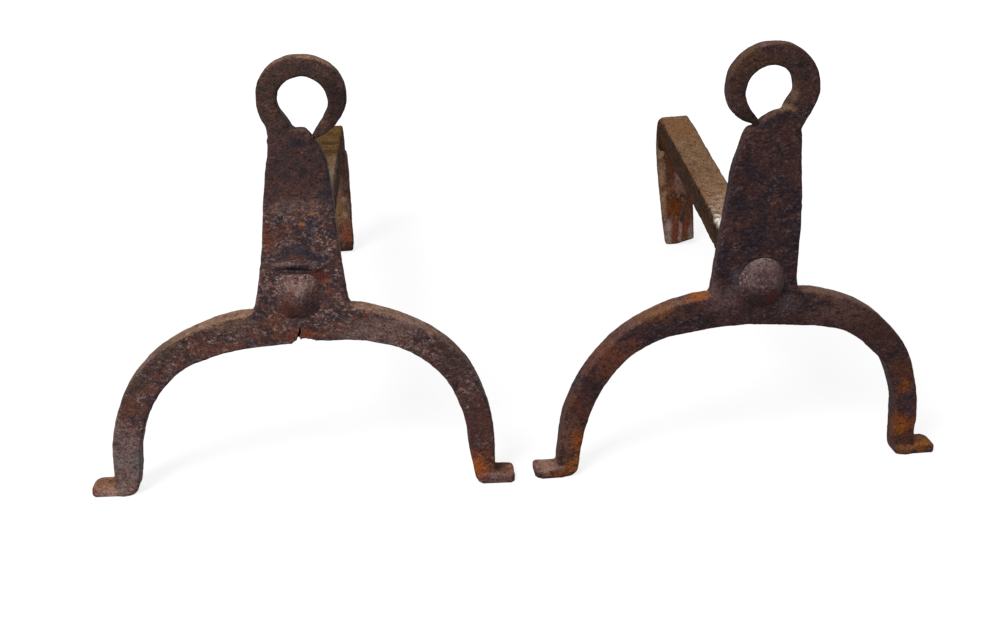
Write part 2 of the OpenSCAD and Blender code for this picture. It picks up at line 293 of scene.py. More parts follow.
def skinned(shape, low, high, step):
    """A closed skin of four-sided faces over a shape, by one point in each cell it crosses."""
    axes = [np.arange(a, b + step, step) for a, b in zip(low, high)]
    x, y, z = axes[0][:, None, None], axes[1][None, :, None], axes[2][None, None, :]
    f = np.array(np.broadcast_to(shape(x, y, z), [len(a) for a in axes]))
    inside, cells = f < 0, tuple(n - 1 for n in f.shape)
    corners = list(itertools.product((0, 1), repeat=3))
    count = np.zeros(cells, np.int8)
    for i, j, k in corners:
        count += inside[i:i + cells[0], j:j + cells[1], k:k + cells[2]]
    active = np.argwhere((count > 0) & (count < len(corners)))
    # Each point is the middle of the places where the face crosses its cell's edges
    value = {c: f[tuple((active + c).T)] for c in corners}
    total, hits = np.zeros((len(active), 3)), np.zeros(len(active))
    for a in corners:
        for axis in range(3):
            if a[axis]:
                continue
            b = tuple(1 if n == axis else v for n, v in enumerate(a))
            fa, fb = value[a], value[b]
            cross = (fa < 0) != (fb < 0)
            point = np.tile(np.array(a, float), (len(active), 1))
            point[:, axis] += np.where(cross, fa / np.where(cross, fa - fb, 1), 0)
            total[cross] += point[cross]
            hits[cross] += 1
    points = np.array(low) + step * (active + total / hits[:, None])
    # Each edge of the grid that the face crosses gives one face, between the four cells around it
    number = np.full(cells, -1)
    number[tuple(active.T)] = np.arange(len(active))
    quads = []
    for axis in range(3):
        u, v = np.eye(3, dtype=int)[(axis + 1) % 3], np.eye(3, dtype=int)[(axis + 2) % 3]
        first = inside.take(range(cells[axis]), axis)
        edge = np.argwhere(first != inside.take(range(1, cells[axis] + 1), axis))
        ring = np.stack([number[tuple((edge - o).T)] for o in (0 * u, u, u + v, v)], 1)
        outwards = first[tuple(edge.T)]
        quads.append(np.where(outwards[:, None], ring, ring[:, ::-1]))
    return settled(points, shape, step), np.vstack(quads)


def outward(points, quads):
    """The direction in which the skin faces at each point."""
    p = points[quads]
    n = np.cross(p[:, 2] - p[:, 0], p[:, 3] - p[:, 1])
    total = np.zeros_like(points)
    for k in range(4):
        np.add.at(total, quads[:, k], n)
    return total / np.maximum(np.linalg.norm(total, axis=1), 1e-9)[:, None]


def grain(p, size, seed):
    """Smooth random value from -1 to 1 at each point, in marks of about this size."""
    q = p / np.asarray(size, float) + 211.7 + 13.37 * seed
    cell = np.floor(q).astype(np.int64)
    f = q - cell
    f = f * f * (3 - 2 * f)
    total = np.zeros(len(p))
    for corner in itertools.product((0, 1), repeat=3):
        # A whole number mixed from the cell's place, of which 16 bits are kept
        c = cell + corner
        h = (c[:, 0] * 73856093) ^ (c[:, 1] * 19349663) ^ (c[:, 2] * 83492791) ^ (seed * 7919)
        h = ((h ^ (h >> 13)) * 1274126177) & 0xFFFFFFFF
        h = (h ^ (h >> 16)) & 0xFFFF
        weight = np.prod(np.where(corner, f, 1 - f), axis=1)
        total += weight * (h / 32767.5 - 1)
    return total


def dents(p, size, seed):
    """Shallow hammer marks that meet at soft ridges: 0 in a mark's middle, 1 at a ridge."""
    q = p / np.asarray(size, float) + 97.3 + 5.71 * seed
    cell = np.floor(q).astype(np.int64)
    nearest = np.full(len(p), 9.0)
    for corner in itertools.product((-1, 0, 1), repeat=3):
        c = cell + corner
        blow = []
        for k in range(3):
            h = (c[:, 0] * 2654435 + c[:, 1] * 40503 + c[:, 2] * 97571 + (k + seed) * 3571)
            h = ((h ^ (h >> 11)) * 22695477) & 0xFFFFFFFF
            blow.append(((h >> 9) & 0xFFFF) / 65535.0)
        nearest = np.minimum(nearest, ((q - c - np.stack(blow, 1)) ** 2).sum(1))
    return np.minimum(nearest, 1.0)


def hammered(points, depth, size, seed):
    """How far a hammer's marks of this depth and size raise each point, or lower it."""
    level = 0.4  # the part of a mark's depth that lies under the face as it was
    return depth * (dents(points, size, seed) - level)


def pitted(points, rows, seed):
    """How far old rust raises each point or lowers it: a depth and a size for each kind of mark."""
    return sum(depth * grain(points, size, seed + 2 * n) for n, (depth, size) in enumerate(rows))


def in_row(p, place):
    """From an andiron's own front, in millimetres, to the pair's frame, in metres."""
    a = math.radians(place[2])
    x = p[:, 0] * math.cos(a) - p[:, 1] * math.sin(a) + place[0]
    y = p[:, 0] * math.sin(a) + p[:, 1] * math.cos(a) + place[1]
    return np.stack([x, y, p[:, 2]], 1) / 1000


def closed(points, faces, facing):
    """A part of a skin with each of its open rims closed by a fan of faces."""
    start, end = faces.ravel(), np.roll(faces, -1, axis=1).ravel()
    size = len(points) + 1
    open_edge = ~np.isin(end * size + start, start * size + end)
    edges = [(int(a), int(b)) for a, b in zip(start[open_edge], end[open_edge])]
    group = {v: v for edge in edges for v in edge}

    def leader(v):
        while group[v] != v:
            v = group[v]
        return v

    for a, b in edges:
        group[leader(a)] = leader(b)
    rims = {}
    for edge in edges:
        rims.setdefault(leader(edge[0]), []).append(edge)
    fans = []
    for loop in rims.values():
        rim = sorted({v for edge in loop for v in edge})
        fans += [(b, a, len(points)) for a, b in loop]
        points = np.vstack([points, points[rim].mean(0)])
        facing = np.vstack([facing, facing[rim].mean(0)])
    return points, faces.tolist() + fans, facing


def iron_piece(points, quads, facing, finish, body, node):
    """One iron of the pair, closed where it was parted from the iron that it grows out of."""
    used, faces = np.unique(quads, return_inverse=True)
    points, faces, facing = closed(points[used], faces.reshape(quads.shape), facing[used])
    points = np.clip(points, np.array(cad_box[0]), np.array(cad_box[1]))
    name = node + "_iron"
    mesh = bpy.data.meshes.new(name)
    mesh.from_pydata(points.tolist(), [], faces)
    mesh.polygons.foreach_set("use_smooth", [True] * len(mesh.polygons))
    mesh.normals_split_custom_set_from_vertices(facing.tolist())
    mesh.materials.append(finish)
    piece = bpy.data.objects.new(name, mesh)
    scene.collection.objects.link(piece)
    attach(piece, body)
    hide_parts(node)


def rgb(r, g, b):
    """A colour as the eye reads it on a screen, from 0 to 255, made ready for a shader."""
    return tuple(((c / 255 + 0.055) / 1.055) ** 2.4 if c > 10 else c / 3294 for c in (r, g, b)) + (1,)


def new_node(tree, kind, sockets=(), **settings):
    """A new node, with its settings made and its sockets joined to others or set to a value."""
    made = tree.nodes.new("ShaderNode" + kind)
    for key, value in settings.items():
        setattr(made, key, value)
    for key, value in dict(sockets).items():
        if isinstance(value, bpy.types.NodeSocket):
            tree.links.new(value, made.inputs[key])
        else:
            made.inputs[key].default_value = value
    return made


def noise(tree, at, per_metre, detail, rough, warp=0.0):
    """Random marks, so many to a metre, as a value about 0.5."""
    sockets = {"Vector": at, "Scale": per_metre, "Detail": detail, "Roughness": rough, "Distortion": warp}
    return new_node(tree, "TexNoise", sockets).outputs["Fac"]


def spread(tree, value, low, high, out_low=0.0, out_high=1.0):
    """A value from low to high, turned into one from out_low to out_high."""
    sockets = {"Value": value, "From Min": low, "From Max": high, "To Min": out_low, "To Max": out_high}
    return new_node(tree, "MapRange", sockets).outputs["Result"]


def worked_out(tree, operation, a, b):
    """Two values added, multiplied or compared."""
    return new_node(tree, "Math", {0: a, 1: b}, operation=operation).outputs[0]


def blend(tree, amount, under, over, kind="MIX"):
    """One colour laid over another."""
    sockets = {"Factor": amount, 6: under, 7: over}
    return new_node(tree, "Mix", sockets, data_type="RGBA", blend_type=kind).outputs[2]


def away(tree, at, place, middle, radius):
    """How far each place is from a middle on an andiron, as a share of the radius on each axis."""
    middle = in_row(np.array([middle], float), place)[0].tolist()
    reach = new_node(tree, "VectorMath", {0: at, 1: middle}, operation="SUBTRACT").outputs["Vector"]
    radius = [r / 1000 for r in radius]
    share = new_node(tree, "VectorMath", {0: reach, 1: radius}, operation="DIVIDE").outputs["Vector"]
    return new_node(tree, "VectorMath", {0: share}, operation="LENGTH").outputs["Value"]


# Marks in the iron: how many to a metre, their detail and roughness, and how much they are warped
MOTTLES = (58, 4, 0.55, 0.3)
RED_STAINS = (150, 2.5, 0.6, 0.4)
BLUE_STAINS = (131, 2.5, 0.6, 0.4)
DRIFTS = (120, 5, 0.65)
FLECKS = (470, 4, 0.72, 0.2)
FLECKED_PLACES = (83, 4, 0.6)
RAGGED_EDGES = (150, 5, 0.65)
BLOOMS = (97, 5, 0.66)
PITS = (390, 4, 0.72, 0.2)
FINE_GRAIN = (1150, 2, 0.7)
POCKS_PER_METRE = 420
PIT_COLOUR = (24, 18, 19)
# The colour of the painted shade in hollows
HOLLOW_SHADE = (20, 15, 15)
DAMP_TOP, DAMP_FULL = 0.07, 0.004  # the heights, in metres, where the low rust begins and is full
RELIEF_DEPTH = 0.0011  # metres


def old_iron(name, place, scale, red, blue, pale, dust, rust=(140, 74, 34), streak=(1, 1, 1),
             pale_share=1.0, pale_height=None, dust_from=0.4, dust_least=0.25, low_rust=0.0,
             pits_seen=0.8, shine=0.1, patches=(), shaded_hollows=()):
    """Rusted wrought iron: brown scale mottled with red and blue-black, pale flecks and pits in it,
    dust on what faces up, orange rust low down, and painted shade in the corners and hollows.
    pale_height has the two heights, in metres, between which the pale flecks change, and their
    share at each. A patch has its middle on the andiron, its radius, colour and strength; some
    patches are painted shade and some painted highlights. A shaded hollow, darkened with painted shade,
    has its middle and radius."""
    finish = bpy.data.materials.new(name)
    finish.use_nodes = True
    tree = finish.node_tree
    tree.nodes.clear()
    texture = new_node(tree, "TexCoord")
    at = texture.outputs["Object"]
    height = new_node(tree, "SeparateXYZ", {0: at}).outputs["Z"]
    facing_up = new_node(tree, "SeparateXYZ", {0: texture.outputs["Normal"]}).outputs["Z"]
    along = new_node(tree, "Mapping", {"Vector": at, "Scale": streak}).outputs["Vector"]
    flecks = noise(tree, along, *FLECKS)
    pits = noise(tree, along, *PITS)
    fine = noise(tree, along, *FINE_GRAIN)

    # Brown scale, mottled with red and with blue-black
    mottles = spread(tree, noise(tree, at, *MOTTLES), 0.40, 0.60)
    colour = blend(tree, mottles, rgb(*scale[0]), rgb(*scale[1]))
    for tint, marks, low in ((red, RED_STAINS, 0.48), (blue, BLUE_STAINS, 0.53)):
        stains = spread(tree, noise(tree, along, *marks), low, 0.66, 0.0, 0.85)
        colour = blend(tree, stains, colour, rgb(*tint))

    # Dust and pale worn rust on what faces up
    lies = spread(tree, facing_up, dust_from, dust_from + 0.5)
    drifts = spread(tree, noise(tree, along, *DRIFTS), 0.36, 0.6, dust_least, 1.0)
    colour = blend(tree, worked_out(tree, "MULTIPLY", lies, drifts), colour, rgb(*dust))

    # Pale flecks, fewer of them where the iron was handled
    share = spread(tree, noise(tree, at, *FLECKED_PLACES), 0.36, 0.62, 0.25, pale_share)
    if pale_height:
        share = worked_out(tree, "MULTIPLY", share, spread(tree, height, *pale_height))
    speckled = worked_out(tree, "MULTIPLY", spread(tree, flecks, 0.515, 0.66), share)
    colour = blend(tree, speckled, colour, rgb(*pale))

    # Each patch has ragged edges and lets some of the scale show through
    ragged = spread(tree, noise(tree, at, *RAGGED_EDGES), 0.3, 0.7, -0.5, 0.5)
    for middle, radius, tint, strength in patches:
        near = worked_out(tree, "ADD", away(tree, at, place, middle, radius), ragged)
        colour = blend(tree, spread(tree, near, 1.05, 0.4, 0.0, strength), colour, rgb(*tint))

    # Orange rust low down, where the iron stands in damp ash
    if low_rust:
        damp = spread(tree, height, DAMP_TOP, DAMP_FULL, 0.0, low_rust)
        blooms = spread(tree, noise(tree, at, *BLOOMS), 0.42, 0.60)
        colour = blend(tree, worked_out(tree, "MULTIPLY", damp, blooms), colour, rgb(*rust))

    # Dark pits and a fine grain over all of it
    colour = blend(tree, spread(tree, pits, 0.47, 0.33, 0.0, pits_seen), colour, rgb(*PIT_COLOUR))
    colour = blend(tree, 1.0, colour, spread(tree, fine, 0.3, 0.7, 0.35, 1.65), "MULTIPLY")

    # Wear along the edges, with painted shade in the corners and in the hollows
    edge = new_node(tree, "NewGeometry").outputs["Pointiness"]
    rubbed = worked_out(tree, "MULTIPLY", spread(tree, edge, 0.53, 0.62, 0.0, 0.45),
                        spread(tree, flecks, 0.4, 0.6, 0.3, 1.0))
    colour = blend(tree, rubbed, colour, rgb(*pale))
    # Painted shade: darker where the iron curves inwards, in corners and creases
    colour = blend(tree, 1.0, colour, spread(tree, edge, 0.42, 0.5, 0.5, 1.0), "MULTIPLY")
    # Painted shade in the hollows, such as the slot and the crack
    for middle, radius in shaded_hollows:
        deep = spread(tree, away(tree, at, place, middle, radius), 1.1, 0.5, 0.0, 0.9)
        colour = blend(tree, deep, colour, rgb(*HOLLOW_SHADE))

    # A rough skin of scale with small round pits
    pocks = new_node(tree, "TexVoronoi", {"Vector": along, "Scale": POCKS_PER_METRE}).outputs["Distance"]
    relief = worked_out(tree, "ADD", worked_out(tree, "MULTIPLY", flecks, 1.1),
                        worked_out(tree, "MULTIPLY", pits, 1.1))
    relief = worked_out(tree, "ADD", relief, worked_out(tree, "MULTIPLY", fine, 0.5))
    relief = worked_out(tree, "ADD", relief, spread(tree, pocks, 0.0, 0.45, -0.35, 0.0))
    bump = new_node(tree, "Bump", {"Strength": 0.6, "Distance": RELIEF_DEPTH, "Height": relief})
    shader = new_node(tree, "BsdfPrincipled", {
        "Base Color": colour, "Roughness": spread(tree, flecks, 0.3, 0.7, 0.85, 0.6),
        "Specular IOR Level": shine, "Normal": bump.outputs["Normal"],
    })
    new_node(tree, "OutputMaterial", {"Surface": shader.outputs[0]})
    return finish


FRONT_CELL = 0.85
FRONT_HAMMER = (0.26, (17, 17, 15))  # the marks' depth and size
FRONT_RUST = [(0.16, 9), (0.16, (5, 4, 3.6)), (0.13, (2.6, 2.2, 2.0))]
FLAT_BELOW = 0.6  # the level up to which the soles stay flat
CORNER_UP = 14  # how far the seat climbs to the upright's two corners,
CORNER_FROM = 27  # from so far out,
CORNER_RUN = 6  # over this width
EYE_FROM = 243.5  # the level at which the eye begins
TIP_FROM = 230  # and the one below which its tip doesn't reach


def forge_front(side, front, cuts, hammer_seed, rust_seed, finish):
    """Skins a front, beats it, and parts it into its upright, its eye and its two legs."""
    points, quads = skinned(front_shape(front, cuts), *front.room, FRONT_CELL)
    depth = hammered(points, *FRONT_HAMMER, hammer_seed) + pitted(points, FRONT_RUST, rust_seed)
    on_hearth = points[:, 2] < FLAT_BELOW
    points = points + outward(points, quads) * np.where(on_hearth, 0, depth)[:, None]
    x, _, z = points[quads].mean(1).T
    corner = np.clip((np.abs(x - front.seat_x) - CORNER_FROM) / CORNER_RUN, 0, 1)
    is_leg = z < SEAT + CORNER_UP * corner
    nearer_eye = band(x, z, front.eye) < plate(x, z, front.outline)
    is_tip = (front.tip_side * x > front.tip_past) & (z > TIP_FROM) & nearer_eye
    is_eye = (z > EYE_FROM) | is_tip
    points = in_row(points, front.place)
    facing = outward(points, quads)
    for part, which in (
        ("upright", ~is_leg & ~is_eye), ("eye", is_eye),
        (front.leg_names[0], is_leg & (x < 0)), (front.leg_names[1], is_leg & (x >= 0)),
    ):
        iron_piece(points, quads[which], facing, finish,
                   side + "_andiron", side + "_" + part)


left_front_finish = old_iron(
    "left_front_iron", LEFT_PLACE, ((57, 42, 43), (76, 54, 51)), red=(98, 58, 47), blue=(45, 42, 48),
    pale=(152, 128, 122), dust=(132, 99, 76), streak=(0.8, 1, 1.1),
    pale_height=(0.204, 0.190, 0.16, 1.0), low_rust=0.2,
    patches=[
        # The eye and the upright's top are smoother and darker, with an olive rim, and painted shade
        # darkens the eye's right outer side
        ((8, 5, 262), (40, 30, 34), (60, 44, 36), 0.85),
        ((31, 2, 260), (10, 20, 26), (40, 28, 27), 0.8),
        ((3, 5, 224), (34, 20, 26), (56, 41, 41), 0.8),
        ((-6, 10, 282), (30, 10, 12), (92, 68, 44), 0.6),
        ((5.6, 0, 236), (7, 6, 3), (38, 36, 43), 0.7),
        ((-6.8, 0, 219), (6, 6, 5), (38, 35, 42), 0.7),
        ((8, 0, 217.5), (6, 6, 4), (40, 36, 42), 0.6),
        ((20.5, 0, 208), (4, 6, 16), (40, 37, 45), 0.7),
        ((-1, 0, 209), (10, 6, 5), (78, 50, 45), 0.6),
        # Loose scale over the rivet and the rust about it, a painted highlight along the slot's upper lip
        # and painted shadow in the slot
        ((0, 0, 196), (22, 6, 5), (112, 88, 82), 0.55),
        ((-16, 0, 177), (6, 6, 11), (94, 52, 38), 0.75),
        ((10.2, 0, 184), (5, 6, 6), (46, 45, 54), 0.75),
        ((4.8, 0, 185), (2.2, 6, 1.6), (146, 92, 50), 0.75),
        ((11.3, 0, 192), (2.6, 6, 1.4), (132, 86, 54), 0.7),
        ((0.5, 0, 167), (11, 6, 4), (46, 44, 52), 0.75),
        ((14, 0, 162), (8, 6, 5), (47, 43, 50), 0.7),
        # Painted highlight along the slot's upper lip
        ((-6, 0, 159.4), (10, 4, 1.8), (140, 120, 118), 0.55),
        ((8, 0, 158.6), (6, 4, 1.6), (132, 106, 104), 0.5),
        # Painted shadow along the slot
        ((0.5, 0, 155.6), (15, 6, 4.2), (36, 29, 33), 0.9),
        # Rust in the dent beside the slot and about the crack
        ((14, 0, 151), (8, 6, 5), (88, 40, 32), 0.8),
        ((-16, 0, 120), (10, 6, 8), (106, 64, 46), 0.5),
        ((0, 3, 111), (10, 10, 6), (116, 60, 36), 0.7),
        # The arches are dark and olive along the top and speckled red below
        ((-90, 4, 104), (22, 14, 10), (74, 58, 45), 0.6),
        ((-109, 4, 84), (10, 14, 18), (76, 59, 46), 0.6),
        ((-50, 0, 104), (26, 12, 5), (104, 64, 50), 0.5),
        ((-46, 3, 119), (22, 12, 6), (112, 86, 68), 0.5),
        ((52, 0, 113), (32, 12, 12), (118, 93, 87), 0.6),
        ((-112, 4, 64), (12, 20, 10), (108, 68, 50), 0.5),
        ((96, 2, 88), (16, 16, 26), (62, 46, 42), 0.6),
        # The outer leg goes pale and greyish at its foot, the inner one redder, and the pads rusty
        ((-118, 4, 50), (10, 20, 8), (104, 74, 68), 0.6),
        ((-119, 4, 24), (16, 20, 30), (120, 103, 100), 0.7),
        ((-113, 0, 24), (5, 20, 12), (98, 94, 97), 0.6),
        ((-122, 0, 36), (5, 20, 4), (92, 68, 72), 0.6),
        ((-137, 9, 7), (7, 7, 5), (112, 72, 44), 0.7),
        ((-129, 9, 7), (5, 6, 5), (112, 88, 46), 0.8),
        ((-133, 10, 7), (3, 3, 4), (74, 46, 36), 0.7),
        ((-132, -1, 3), (14, 4, 4), (158, 128, 118), 0.7),
        ((112, 4, 42), (14, 20, 26), (68, 43, 41), 0.85),
        ((110, 2, 12), (11, 12, 12), (150, 78, 32), 0.85),
        ((126, 9, 7), (13, 11, 6), (64, 42, 34), 0.95),
        ((122, 8, 7), (4, 4, 4), (56, 36, 29), 0.7),
        # Painted highlight along the inner pad's lower front edge
        ((126, -2, 3), (12, 5, 4), (98, 74, 76), 0.8),
    ],
    # Painted shade in the slot and down the crack
    shaded_hollows=[
        ((-1, 1.6, 155.3), (9, 1.6, 1.6)),
        ((-1.4, 4, 111), (4, 3, 10)),
    ],
)

# The seat's middle is at seat_x. The eye's tip lies on tip_side, where its stem ends before stem_to
# and its tip is past tip_past. The skin is looked for in the room between two corners.
left_front = SimpleNamespace(
    place=LEFT_PLACE, seat_x=0, pads=LEFT_PADS, outline=softened(LEFT_UPRIGHT),
    legs=(drawn_out(LEFT_OUTER_LEG), drawn_out(LEFT_INNER_LEG)), leg_names=("outer_leg", "inner_leg"),
    eye=curled(LEFT_EYE_STEM, LEFT_EYE, LEFT_EYE_IRON, LEFT_EYE_TIP),
    tip_side=1, stem_to=9, tip_past=11.5, plate_edge=1.8, leg_edge=3.6,
    room=((-147, -4, -2), (139, 18, 290)),
)
# The weld that opened: a small notch under it, and the crack above. The slot is the cold shut, the
# gap lies under the eye's tip, and the dish is a dent beside the slot.
LEFT_NOTCH = [
    (-8, 102), (-6.3, 105.8), (-4, 107.4), (-1.5, 108.1), (0.5, 108.6), (3, 108.5), (5, 108),
    (8, 107.3), (8.6, 102),
]
LEFT_CRACK = [(-2.4, 107, 2.0), (-2, 110.5, 1.3), (-0.7, 114.5, 0.8), (-1.3, 118, 0.6)]
LEFT_SLOT = [(-9, 155.2, 0.8), (-6, 156, 1.8), (-1, 155.4, 2.2), (4, 155.3, 1.5), (9, 154.2, 1.0)]
LEFT_GAP = [(13.2, 243, 0.3), (14.6, 240, 0.8), (17, 237.2, 1.1), (20, 236, 1.0)]
CRACK_DEPTH = 6
SLOT_DEPTH = 1.0
GAP_DEPTH = 2.4
LEFT_DISH = ((13, -0.4, 151), (7.5, 1.4, 4.5))  # its middle and its radius
LEFT_BORE = (-1, 136.2)  # the middle of the rivet's hole


def left_cuts(x, y, z):
    """What is cut into the left front."""
    (dish_x, dish_y, dish_z), (across, deep, up) = LEFT_DISH
    hole = np.hypot(np.hypot((x - dish_x) / across, (z - dish_z) / up), (y - dish_y) / deep)
    return (
        plate(x, z, LEFT_NOTCH),
        np.maximum(band(x, z, LEFT_GAP), y - GAP_DEPTH),
        np.maximum(band(x, z, LEFT_CRACK), y - CRACK_DEPTH),
        np.maximum(band(x, z, LEFT_SLOT), y - SLOT_DEPTH),
        hole * deep - deep,
        np.hypot(x - LEFT_BORE[0], z - LEFT_BORE[1]) - BORE_R,
    )


forge_front("left", left_front, left_cuts, hammer_seed=11, rust_seed=14, finish=left_front_finish)


# ---------------------------------------------------------------------------
# The right front is forged as the left one is, with its eye curled the other
# way. Its iron is darker and smoother, its inner leg thinner, and its upright
# leans to the left above a broad foot.
RIGHT_INNER_LEG = [
    (0, 114.4, 20.2), (-28, 114.2, 22), (-46.5, 111.5, 22.2), (-65, 106.5, 19.2), (-83.5, 96.5, 17.2),
    (-96, 85.5, 16.7), (-107.5, 70, 16.6), (-114.5, 56, 16.5), (-120, 39.5, 16),
    (-123, 20, 14.5), (-124.2, 7.1, 14.4),
]
RIGHT_OUTER_LEG = [
    (0, 114.4, 20.9), (30, 113.5, 24.2), (46, 111.5, 23.2), (64, 106, 21.2), (78, 97.5, 20.6),
    (89, 87, 20), (98.8, 75.7, 17.6), (105, 61.5, 16.5), (110, 44.5, 15.5), (111.8, 28, 15.5),
    (111.8, 18.5, 15), (112.6, 5.3, 14.2),
]
RIGHT_PADS = [(-146.6, -124, -0.8, 17.4, 7, 2.5), (109.5, 135.5, -0.7, 17.8, 4, 6)]
RIGHT_UPRIGHT = [
    (-37, 108), (-34, 121), (-31.4, 131), (-28.8, 156), (-26, 179), (-23.4, 199),
    (-22.4, 210), (-20.3, 218), (-17.5, 227), (-15.7, 232.9), (-13.3, 236.1), (-9.8, 236.6),
    (-7.6, 239.1), (-5, 241.2), (-2, 243.4), (1, 245.2), (5, 246.0), (9, 247), (12, 249), (19, 246),
    (20.4, 240.8), (19.1, 238), (19.3, 235), (20.6, 232), (21, 228), (22.2, 208),
    (24.4, 189), (25, 168), (24.7, 146), (25.3, 131), (29, 122), (32, 108),
]
RIGHT_EYE = (-0.6, 259.6)
RIGHT_EYE_STEM = [(14, 240, 15), (17.2, 247.2, 16.4), (20.9, 253.6, 15.6)]
RIGHT_EYE_IRON = [
    (0, 22.7, 15.6), (25, 22.6, 15.5), (47, 22.6, 14.8), (67, 22.5, 15.2), (90, 22.2, 13.8),
    (110, 22.3, 13.6), (132, 22.5, 13.4), (155, 22.9, 13.0), (180, 22.6, 11.8), (196, 22.4, 11.1),
]
RIGHT_EYE_TIP = [(-18.2, 246.6, 9.4), (-11.4, 241.2, 5.2)]

right_front_finish = old_iron(
    "right_front_iron", RIGHT_PLACE, ((36, 28, 34), (62, 41, 38)), red=(66, 41, 38), blue=(37, 31, 38),
    pale=(104, 84, 84), dust=(98, 68, 54), rust=(130, 68, 30), streak=(0.7, 1, 1.1),
    pale_share=0.7, low_rust=0.3, shine=0.08,
    patches=[
        # The eye is browner, olive at its upper left and dusty on the stem's shoulder
        ((0, 5, 264), (36, 30, 32), (67, 46, 39), 0.8),
        ((-17, 6, 277), (18, 16, 18), (80, 56, 35), 0.5),
        ((10, 7, 248), (10, 12, 3.6), (122, 92, 70), 0.85),
        ((14, 4, 256), (3, 10, 8), (100, 74, 60), 0.7),
        ((-13, 8, 236), (6, 8, 4), (84, 60, 52), 0.6),
        ((-14, 4, 244), (13, 20, 9), (38, 28, 26), 0.9),
        # Ash grey about the rivet, and orange rust where the inner leg leaves the upright
        ((-15, 0, 137), (5, 6, 10), (84, 74, 78), 0.6),
        ((-25, 0, 124), (14, 6, 12), (94, 73, 71), 0.7),
        ((20, 0, 118), (10, 6, 8), (78, 66, 70), 0.5),
        ((-43, 9, 126), (15, 20, 4.2), (136, 74, 24), 0.85),
        # The arches are browner along the top and redder below, and the ankles orange in places
        ((-70, 8, 116), (30, 20, 8), (112, 72, 46), 0.6),
        ((-94, 0, 84), (30, 20, 18), (104, 60, 44), 0.65),
        ((-119, 6, 52), (10, 20, 12), (96, 54, 38), 0.6),
        ((-124, 0, 30), (6, 20, 20), (104, 72, 56), 0.6),
        ((-117, 0, 26), (6, 20, 14), (140, 74, 28), 0.7),
        ((-119, 0, 10), (9, 12, 8), (146, 86, 40), 0.85),
        ((-138, 7, 7), (12, 12, 5), (134, 108, 96), 0.8),
        ((-132, -1, 3), (7, 4, 4), (122, 66, 34), 0.7),
        ((50, 10, 122), (26, 20, 7), (100, 74, 62), 0.6),
        ((60, 0, 110), (30, 12, 12), (92, 64, 58), 0.65),
        ((82, 0, 96), (20, 12, 14), (68, 44, 37), 0.7),
        ((105, 0, 66), (9, 20, 16), (84, 50, 38), 0.7),
        ((108, 0, 52), (6, 12, 6), (132, 72, 32), 0.7),
        ((113, 0, 38), (8, 12, 14), (50, 40, 50), 0.85),
        ((110, 0, 22), (14, 12, 12), (118, 62, 24), 0.75),
        ((109, 0, 21), (5, 12, 6), (146, 84, 24), 0.7),
        ((114, 0, 13), (5, 12, 9), (70, 42, 34), 0.8),
        ((116, 0, 5), (10, 8, 4), (140, 92, 52), 0.7),
        ((128, 3, 5), (10, 6, 6), (116, 68, 18), 0.95),
        ((123, 9, 7), (3, 3, 4), (44, 28, 23), 0.8),
        ((126, 10, 8), (7, 6, 4), (100, 64, 46), 0.85),
    ],
)

right_front = SimpleNamespace(
    place=RIGHT_PLACE, seat_x=-3, pads=RIGHT_PADS, outline=softened(RIGHT_UPRIGHT),
    legs=(drawn_out(RIGHT_INNER_LEG), drawn_out(RIGHT_OUTER_LEG)), leg_names=("inner_leg", "outer_leg"),
    eye=curled(RIGHT_EYE_STEM, RIGHT_EYE, RIGHT_EYE_IRON, RIGHT_EYE_TIP),
    tip_side=-1, stem_to=4, tip_past=6, plate_edge=2.0, leg_edge=3.4,
    room=((-150, -4, -2), (139, 18, 291)),
)
RIGHT_GAP = [(-7.6, 242, 0.3), (-9, 239.6, 0.9), (-11.4, 237.8, 1.2), (-16, 236.4, 1.0)]
RIGHT_CRACK_W = 0.8
RIGHT_CRACK_DEPTH = 2
RIGHT_CRACK_TOP = 107
RIGHT_BORE = (0.5, 134.7)


def right_cuts(x, y, z):
    """What is cut into the right front, where the weld's seam is a straight one."""
    return (
        np.maximum(band(x, z, RIGHT_GAP), y - GAP_DEPTH),
        np.maximum(np.abs(x) - RIGHT_CRACK_W / 2, np.maximum(y - RIGHT_CRACK_DEPTH, z - RIGHT_CRACK_TOP)),
        np.hypot(x - RIGHT_BORE[0], z - RIGHT_BORE[1]) - BORE_R,
    )


forge_front("right", right_front, right_cuts, hammer_seed=31, rust_seed=34, finish=right_front_finish)


# ---------------------------------------------------------------------------
# Each billet bar is inch-square wrought iron that lies behind its upright and
# carries the logs. Its back end was heated and bent down to make the rear leg,
# which spread it there and rounded the corner that took the blows.
BAR = 24.5  # wide and high
DEPTH = 490.0  # from the fronts' face to the outside of the bend
LIFT = 6.0  # of the bar's underside above the seat
FALL = 20.0  # of the bar from front to back
LEG = 19.0  # the rear leg, from front to back
SWELL = 1.3  # what the blows at the bend raised
SWELL_FROM = 60  # before the bar's end, where the swell begins
SWELL_TO = 15  # and where it is full
KEPT_IN = 0.8  # what the end lies inside its full depth, for the hammer's marks
BEND_OUT = 5  # the bend's radius outside
BEND_IN = 6.0  # and its fillet inside
BAR_EDGE = 2.2  # the radius of the bar's long edges
BAR_BORE_END = 36  # of the rivet's hole, behind the front's face
SEAT_GAP = 0.02  # between the upright and the bar's end
AXIS = SEAT + LIFT + BAR / 2
END_TOP = AXIS + BAR / 2 - FALL
UNDER = END_TOP - BAR
BAR_CELL = 1.15
BAR_ROOM = ((-21, 5, -5), (21, 493, 148))
BAR_KEPT = 4  # how far from the upright the bar stays flat
SOLE_KEPT = 20  # how far up faces that look down stay flat
BAR_HAMMER = (0.42, (26, 17, 26))
BAR_RUST = [(0.26, (14, 7, 9)), (0.18, (6, 3.4, 4)), (0.12, 2.6)]

